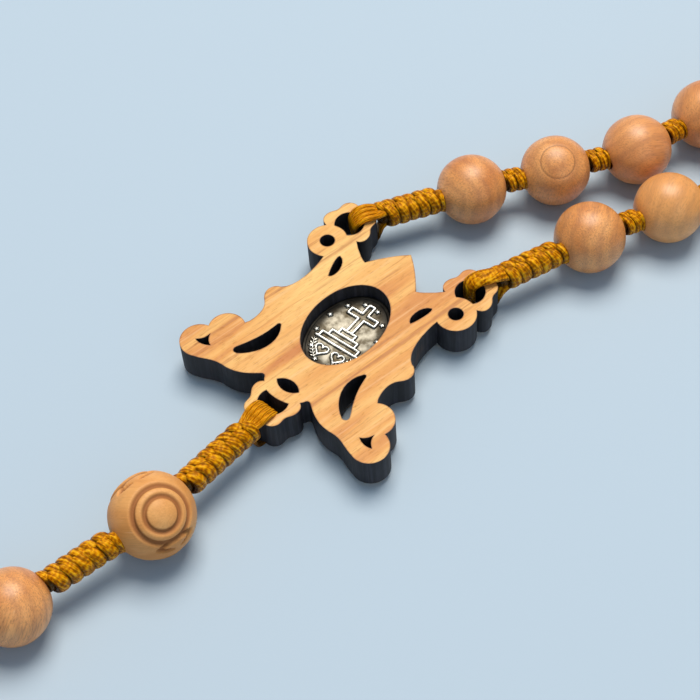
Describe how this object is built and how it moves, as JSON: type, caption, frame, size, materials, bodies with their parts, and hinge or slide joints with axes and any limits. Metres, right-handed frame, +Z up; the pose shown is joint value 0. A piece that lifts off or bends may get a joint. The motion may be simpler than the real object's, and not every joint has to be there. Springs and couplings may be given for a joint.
{
  "type": "rosary",
  "caption": "Wooden rosary: beads and carved beads on a knotted gold cord, an ornate pierced centrepiece holding an oval medal, and a pendant ending in a cross.",
  "frame": {"origin": "centre of the laid-out footprint, on the table", "axes": "+Z up from the table; +Y from the cross towards the far end of the loop; +X to the right with the medal facing up"},
  "size_m": [0.1808, 0.3528, 0.0089],
  "materials": {
    "plate_wood": "laser-cut olive wood, satin face, burnt dark edges",
    "bead_wood": "turned olive wood, fine grain, soft wax sheen",
    "carved_bead_wood": "turned and carved olive wood, dull",
    "cord": "braided satin cord, mustard gold",
    "medal_metal": "antique silver, dark in the hollows"
  },
  "bodies": {
    "centrepiece": {"centrepiece": "plate_wood", "medal": "medal_metal"},
    "left_loop": {"left_loop": "cord"},
    "right_loop": {"right_loop": "cord"},
    "pendant_loop": {"pendant_loop": "cord"},
    "left_cord_1": {"left_cord_1": "cord"},
    "left_beads_1": {"left_beads_1": "bead_wood"},
    "left_cord_2": {"left_cord_2": "cord"},
    "left_beads_2": {"left_beads_2": "bead_wood"},
    "left_cord_3": {"left_cord_3": "cord"},
    "left_beads_3": {"left_beads_3": "bead_wood"},
    "left_cord_4": {"left_cord_4": "cord"},
    "left_beads_4": {"left_beads_4": "bead_wood"},
    "left_cord_5": {"left_cord_5": "cord"},
    "left_beads_5": {"left_beads_5": "carved_bead_wood"},
    "left_cord_6": {"left_cord_6": "cord"},
    "left_beads_6": {"left_beads_6": "bead_wood"},
    "left_cord_7": {"left_cord_7": "cord"},
    "left_beads_7": {"left_beads_7": "bead_wood"},
    "left_cord_8": {"left_cord_8": "cord"},
    "left_beads_8": {"left_beads_8": "bead_wood"},
    "left_cord_9": {"left_cord_9": "cord"},
    "left_beads_9": {"left_beads_9": "carved_bead_wood"},
    "left_cord_10": {"left_cord_10": "cord"},
    "left_beads_10": {"left_beads_10": "bead_wood"},
    "left_cord_11": {"left_cord_11": "cord"},
    "left_beads_11": {"left_beads_11": "bead_wood"},
    "right_cord_1": {"right_cord_1": "cord"},
    "right_beads_1": {"right_beads_1": "bead_wood"},
    "right_cord_2": {"right_cord_2": "cord"},
    "right_beads_2": {"right_beads_2": "bead_wood"},
    "right_cord_3": {"right_cord_3": "cord"},
    "right_beads_3": {"right_beads_3": "bead_wood"},
    "right_cord_4": {"right_cord_4": "cord"},
    "right_beads_4": {"right_beads_4": "bead_wood"},
    "right_cord_5": {"right_cord_5": "cord"},
    "right_beads_5": {"right_beads_5": "carved_bead_wood"},
    "right_cord_6": {"right_cord_6": "cord"},
    "right_beads_6": {"right_beads_6": "bead_wood"},
    "right_cord_7": {"right_cord_7": "cord"},
    "right_beads_7": {"right_beads_7": "bead_wood"},
    "right_cord_8": {"right_cord_8": "cord"},
    "right_beads_8": {"right_beads_8": "bead_wood"},
    "right_cord_9": {"right_cord_9": "cord"},
    "right_beads_9": {"right_beads_9": "carved_bead_wood"},
    "right_cord_10": {"right_cord_10": "cord"},
    "right_beads_10": {"right_beads_10": "bead_wood"},
    "pendant_cord_1": {"pendant_cord_1": "cord"},
    "pendant_beads_1": {"pendant_beads_1": "carved_bead_wood"},
    "pendant_cord_2": {"pendant_cord_2": "cord"},
    "pendant_beads_2": {"pendant_beads_2": "bead_wood"},
    "pendant_cord_3": {"pendant_cord_3": "cord"},
    "pendant_beads_3": {"pendant_beads_3": "bead_wood"},
    "pendant_cord_4": {"pendant_cord_4": "cord"},
    "pendant_beads_4": {"pendant_beads_4": "bead_wood"},
    "pendant_tail_cord": {"pendant_tail_cord": "cord"},
    "pendant_tail_bead": {"pendant_tail_bead": "carved_bead_wood"},
    "cross": {"cross": "plate_wood"}
  },
  "joints": [
    {"name": "left_loop_swing", "type": "hinge", "parent": "centrepiece", "child": "left_loop", "pos_m": [-0.08344, -0.03481, 0.0027], "axis": [0, 0, 1], "range_deg": [-22, 22]},
    {"name": "right_loop_swing", "type": "hinge", "parent": "centrepiece", "child": "right_loop", "pos_m": [-0.06704, -0.03481, 0.0027], "axis": [0, 0, 1], "range_deg": [-21.86, 21.86]},
    {"name": "pendant_loop_swing", "type": "hinge", "parent": "centrepiece", "child": "pendant_loop", "pos_m": [-0.07524, -0.05981, 0.0027], "axis": [0, 0, 1], "range_deg": [-25, 25]},
    {"name": "left_cord_1_fold", "type": "hinge", "parent": "left_loop", "child": "left_cord_1", "pos_m": [-0.07566, -0.02329, 0.00395], "axis": [0, 0, -1], "range_deg": [-22.2, 22.2]},
    {"name": "left_cord_2_fold", "type": "hinge", "parent": "left_cord_1", "child": "left_cord_2", "pos_m": [-0.06963, -0.01557, 0.00395], "axis": [0, 0, 1], "range_deg": [-2.63, 4.72]},
    {"name": "left_cord_3_fold", "type": "hinge", "parent": "left_cord_2", "child": "left_cord_3", "pos_m": [-0.06387, -0.00764, 0.00395], "axis": [0, 0, -1], "range_deg": [-0.45, 0.67]},
    {"name": "left_cord_4_fold", "type": "hinge", "parent": "left_cord_3", "child": "left_cord_4", "pos_m": [-0.04982, 0.02896, 0.00395], "axis": [0, 0, 1], "range_deg": [-5.08, 9.27]},
    {"name": "left_cord_5_fold", "type": "hinge", "parent": "left_cord_4", "child": "left_cord_5", "pos_m": [-0.053, 0.07445, 0.00445], "axis": [0, 0, 1], "range_deg": [-5.33, 9.74]},
    {"name": "left_cord_6_fold", "type": "hinge", "parent": "left_cord_5", "child": "left_cord_6", "pos_m": [-0.05187, 0.09061, 0.00395], "axis": [0, 0, -1], "range_deg": [-11.1, 20.62]},
    {"name": "left_cord_7_fold", "type": "hinge", "parent": "left_cord_6", "child": "left_cord_7", "pos_m": [-0.04377, 0.11887, 0.00395], "axis": [0, 0, -1], "range_deg": [-4.81, 8.77]},
    {"name": "left_cord_8_fold", "type": "hinge", "parent": "left_cord_7", "child": "left_cord_8", "pos_m": [-0.02073, 0.15058, 0.00395], "axis": [0, 0, -1], "range_deg": [-5.37, 9.79]},
    {"name": "left_cord_9_fold", "type": "hinge", "parent": "left_cord_8", "child": "left_cord_9", "pos_m": [0.01028, 0.16848, 0.00445], "axis": [0, 0, -1], "range_deg": [-0.95, 1.59]},
    {"name": "left_cord_10_fold", "type": "hinge", "parent": "left_cord_9", "child": "left_cord_10", "pos_m": [0.026, 0.1724, 0.00395], "axis": [0, 0, 1], "range_deg": [-5.22, 9.53]},
    {"name": "left_cord_11_fold", "type": "hinge", "parent": "left_cord_10", "child": "left_cord_11", "pos_m": [0.05538, 0.17137, 0.00395], "axis": [0, 0, -1], "range_deg": [-1.58, 1.58]},
    {"name": "right_cord_1_fold", "type": "hinge", "parent": "right_loop", "child": "right_cord_1", "pos_m": [-0.0611, -0.02148, 0.00395], "axis": [0, 0, -1], "range_deg": [-21.86, 21.86]},
    {"name": "right_cord_2_fold", "type": "hinge", "parent": "right_cord_1", "child": "right_cord_2", "pos_m": [-0.05635, -0.01291, 0.00395], "axis": [0, 0, -1], "range_deg": [-2.33, 4.16]},
    {"name": "right_cord_3_fold", "type": "hinge", "parent": "right_cord_2", "child": "right_cord_3", "pos_m": [-0.05115, -0.00459, 0.00395], "axis": [0, 0, -1], "range_deg": [-2.8, 5.03]},
    {"name": "right_cord_4_fold", "type": "hinge", "parent": "right_cord_3", "child": "right_cord_4", "pos_m": [-0.01654, 0.01381, 0.00395], "axis": [0, 0, -1], "range_deg": [-3.44, 6.21]},
    {"name": "right_cord_5_fold", "type": "hinge", "parent": "right_cord_4", "child": "right_cord_5", "pos_m": [0.02881, 0.01858, 0.00445], "axis": [0, 0, -1], "range_deg": [-1.19, 2.04]},
    {"name": "right_cord_6_fold", "type": "hinge", "parent": "right_cord_5", "child": "right_cord_6", "pos_m": [0.04438, 0.02304, 0.00395], "axis": [0, 0, 1], "range_deg": [-5.69, 10.39]},
    {"name": "right_cord_7_fold", "type": "hinge", "parent": "right_cord_6", "child": "right_cord_7", "pos_m": [0.06875, 0.03948, 0.00395], "axis": [0, 0, 1], "range_deg": [-7.24, 13.27]},
    {"name": "right_cord_8_fold", "type": "hinge", "parent": "right_cord_7", "child": "right_cord_8", "pos_m": [0.08594, 0.07471, 0.00395], "axis": [0, 0, 1], "range_deg": [-5.13, 9.36]},
    {"name": "right_cord_9_fold", "type": "hinge", "parent": "right_cord_8", "child": "right_cord_9", "pos_m": [0.08594, 0.11051, 0.00445], "axis": [0, 0, 1], "range_deg": [-0.75, 1.22]},
    {"name": "right_cord_10_fold", "type": "hinge", "parent": "right_cord_9", "child": "right_cord_10", "pos_m": [0.08257, 0.12636, 0.00395], "axis": [0, 0, -1], "range_deg": [-2.58, 4.62]},
    {"name": "pendant_cord_1_lift", "type": "hinge", "parent": "pendant_loop", "child": "pendant_cord_1", "pos_m": [-0.07641, -0.07657, 0.00445], "axis": [-0.9613, 0.2756, 0], "range_deg": [0, 45]},
    {"name": "pendant_cord_2_fold", "type": "hinge", "parent": "pendant_cord_1", "child": "pendant_cord_2", "pos_m": [-0.08087, -0.09215, 0.00395], "axis": [0, 0, 1], "range_deg": [-30, 30]},
    {"name": "pendant_cord_3_fold", "type": "hinge", "parent": "pendant_cord_2", "child": "pendant_cord_3", "pos_m": [-0.0839, -0.10147, 0.00395], "axis": [0, 0, -1], "range_deg": [-30, 30]},
    {"name": "pendant_cord_4_lift", "type": "hinge", "parent": "pendant_cord_3", "child": "pendant_cord_4", "pos_m": [-0.08594, -0.11105, 0.00395], "axis": [-1, 0, 0], "range_deg": [0, 45]},
    {"name": "pendant_tail_fold", "type": "hinge", "parent": "pendant_cord_4", "child": "pendant_tail_cord", "pos_m": [-0.08594, -0.12725, 0.00445], "axis": [0, 0, 1], "range_deg": [-30, 30]},
    {"name": "cross_swing", "type": "hinge", "parent": "pendant_tail_cord", "child": "cross", "pos_m": [-0.08202, -0.14297, 0.0027], "axis": [0, 0, -1], "range_deg": [-25, 25]},
    {"name": "left_beads_1_spin", "type": "hinge", "parent": "left_cord_1", "child": "left_beads_1", "pos_m": [-0.07566, -0.02329, 0.00395], "axis": [0.6157, 0.788, 0], "continuous": true},
    {"name": "left_beads_2_spin", "type": "hinge", "parent": "left_cord_2", "child": "left_beads_2", "pos_m": [-0.06963, -0.01557, 0.00395], "axis": [0.5878, 0.809, 0], "continuous": true},
    {"name": "left_beads_3_spin", "type": "hinge", "parent": "left_cord_3", "child": "left_beads_3", "pos_m": [-0.06387, -0.00764, 0.00395], "axis": [0.3584, 0.9336, 0], "continuous": true},
    {"name": "left_beads_4_spin", "type": "hinge", "parent": "left_cord_4", "child": "left_beads_4", "pos_m": [-0.04982, 0.02896, 0.00395], "axis": [-0.0698, 0.9975, 0.011], "continuous": true},
    {"name": "left_beads_5_spin", "type": "hinge", "parent": "left_cord_5", "child": "left_beads_5", "pos_m": [-0.053, 0.07445, 0.00445], "axis": [0.0697, 0.9971, -0.0308], "continuous": true},
    {"name": "left_beads_6_spin", "type": "hinge", "parent": "left_cord_6", "child": "left_beads_6", "pos_m": [-0.05187, 0.09061, 0.00395], "axis": [0.2756, 0.9613, 0], "continuous": true},
    {"name": "left_beads_7_spin", "type": "hinge", "parent": "left_cord_7", "child": "left_beads_7", "pos_m": [-0.04377, 0.11887, 0.00395], "axis": [0.5878, 0.809, 0], "continuous": true},
    {"name": "left_beads_8_spin", "type": "hinge", "parent": "left_cord_8", "child": "left_beads_8", "pos_m": [-0.02073, 0.15058, 0.00395], "axis": [0.8659, 0.5, 0.014], "continuous": true},
    {"name": "left_beads_9_spin", "type": "hinge", "parent": "left_cord_9", "child": "left_beads_9", "pos_m": [0.01028, 0.16848, 0.00445], "axis": [0.9698, 0.2418, -0.0308], "continuous": true},
    {"name": "left_beads_10_spin", "type": "hinge", "parent": "left_cord_10", "child": "left_beads_10", "pos_m": [0.026, 0.1724, 0.00395], "axis": [0.9994, -0.0349, 0], "continuous": true},
    {"name": "left_beads_11_spin", "type": "hinge", "parent": "left_cord_11", "child": "left_beads_11", "pos_m": [0.05538, 0.17137, 0.00395], "axis": [0.7578, -0.6524, 0], "continuous": true},
    {"name": "right_beads_1_spin", "type": "hinge", "parent": "right_cord_1", "child": "right_beads_1", "pos_m": [-0.0611, -0.02148, 0.00395], "axis": [0.4848, 0.8746, 0], "continuous": true},
    {"name": "right_beads_2_spin", "type": "hinge", "parent": "right_cord_2", "child": "right_beads_2", "pos_m": [-0.05635, -0.01291, 0.00395], "axis": [0.5299, 0.848, 0], "continuous": true},
    {"name": "right_beads_3_spin", "type": "hinge", "parent": "right_cord_3", "child": "right_beads_3", "pos_m": [-0.05115, -0.00459, 0.00395], "axis": [0.8829, 0.4695, 0], "continuous": true},
    {"name": "right_beads_4_spin", "type": "hinge", "parent": "right_cord_4", "child": "right_beads_4", "pos_m": [-0.01654, 0.01381, 0.00395], "axis": [0.9945, 0.1045, 0.011], "continuous": true},
    {"name": "right_beads_5_spin", "type": "hinge", "parent": "right_cord_5", "child": "right_beads_5", "pos_m": [0.02881, 0.01858, 0.00445], "axis": [0.9608, 0.2755, -0.0308], "continuous": true},
    {"name": "right_beads_6_spin", "type": "hinge", "parent": "right_cord_6", "child": "right_beads_6", "pos_m": [0.04438, 0.02304, 0.00395], "axis": [0.829, 0.5592, 0], "continuous": true},
    {"name": "right_beads_7_spin", "type": "hinge", "parent": "right_cord_7", "child": "right_beads_7", "pos_m": [0.06875, 0.03948, 0.00395], "axis": [0.4384, 0.8988, 0], "continuous": true},
    {"name": "right_beads_8_spin", "type": "hinge", "parent": "right_cord_8", "child": "right_beads_8", "pos_m": [0.08594, 0.07471, 0.00395], "axis": [0, 0.9999, 0.014], "continuous": true},
    {"name": "right_beads_9_spin", "type": "hinge", "parent": "right_cord_9", "child": "right_beads_9", "pos_m": [0.08594, 0.11051, 0.00445], "axis": [-0.2078, 0.9777, -0.0308], "continuous": true},
    {"name": "right_beads_10_spin", "type": "hinge", "parent": "right_cord_10", "child": "right_beads_10", "pos_m": [0.08257, 0.12636, 0.00395], "axis": [0.1283, 0.9917, 0], "continuous": true},
    {"name": "pendant_beads_1_spin", "type": "hinge", "parent": "pendant_cord_1", "child": "pendant_beads_1", "pos_m": [-0.07641, -0.07657, 0.00445], "axis": [-0.2755, -0.9608, -0.0308], "continuous": true},
    {"name": "pendant_beads_2_spin", "type": "hinge", "parent": "pendant_cord_2", "child": "pendant_beads_2", "pos_m": [-0.08087, -0.09215, 0.00395], "axis": [-0.309, -0.9511, 0], "continuous": true},
    {"name": "pendant_beads_3_spin", "type": "hinge", "parent": "pendant_cord_3", "child": "pendant_beads_3", "pos_m": [-0.0839, -0.10147, 0.00395], "axis": [-0.2079, -0.9781, 0], "continuous": true},
    {"name": "pendant_beads_4_spin", "type": "hinge", "parent": "pendant_cord_4", "child": "pendant_beads_4", "pos_m": [-0.08594, -0.11105, 0.00395], "axis": [0, -0.9995, 0.0308], "continuous": true},
    {"name": "pendant_tail_bead_spin", "type": "hinge", "parent": "pendant_tail_cord", "child": "pendant_tail_bead", "pos_m": [-0.08594, -0.12725, 0.00445], "axis": [0.2418, -0.9698, -0.0308], "continuous": true}
  ],
  "couplings": [
    {"joint": "right_loop_swing", "follows": "left_loop_swing", "ratio": 0.9844},
    {"joint": "left_cord_1_fold", "follows": "left_loop_swing", "ratio": 1},
    {"joint": "left_cord_2_fold", "follows": "left_cord_6_fold", "ratio": 0.21933},
    {"joint": "left_cord_3_fold", "follows": "left_cord_6_fold", "ratio": 0.022675},
    {"joint": "left_cord_4_fold", "follows": "left_cord_6_fold", "ratio": 0.43987},
    {"joint": "left_cord_5_fold", "follows": "left_cord_6_fold", "ratio": 0.46254},
    {"joint": "left_cord_7_fold", "follows": "left_cord_6_fold", "ratio": 0.41556},
    {"joint": "left_cord_8_fold", "follows": "left_cord_6_fold", "ratio": 0.46523},
    {"joint": "left_cord_9_fold", "follows": "left_cord_6_fold", "ratio": 0.067375},
    {"joint": "left_cord_10_fold", "follows": "left_cord_6_fold", "ratio": 0.45253},
    {"joint": "left_cord_11_fold", "follows": "left_loop_swing", "ratio": 0.062674},
    {"joint": "right_cord_1_fold", "follows": "left_loop_swing", "ratio": 0.9844},
    {"joint": "right_cord_2_fold", "follows": "left_cord_6_fold", "ratio": 0.19211},
    {"joint": "right_cord_3_fold", "follows": "left_cord_6_fold", "ratio": 0.23444},
    {"joint": "right_cord_4_fold", "follows": "left_cord_6_fold", "ratio": 0.2917},
    {"joint": "right_cord_5_fold", "follows": "left_cord_6_fold", "ratio": 0.089334},
    {"joint": "right_cord_6_fold", "follows": "left_cord_6_fold", "ratio": 0.49429},
    {"joint": "right_cord_7_fold", "follows": "left_cord_6_fold", "ratio": 0.634},
    {"joint": "right_cord_8_fold", "follows": "left_cord_6_fold", "ratio": 0.44442},
    {"joint": "right_cord_9_fold", "follows": "left_cord_6_fold", "ratio": 0.049652},
    {"joint": "right_cord_10_fold", "follows": "left_cord_6_fold", "ratio": 0.21434}
  ]
}
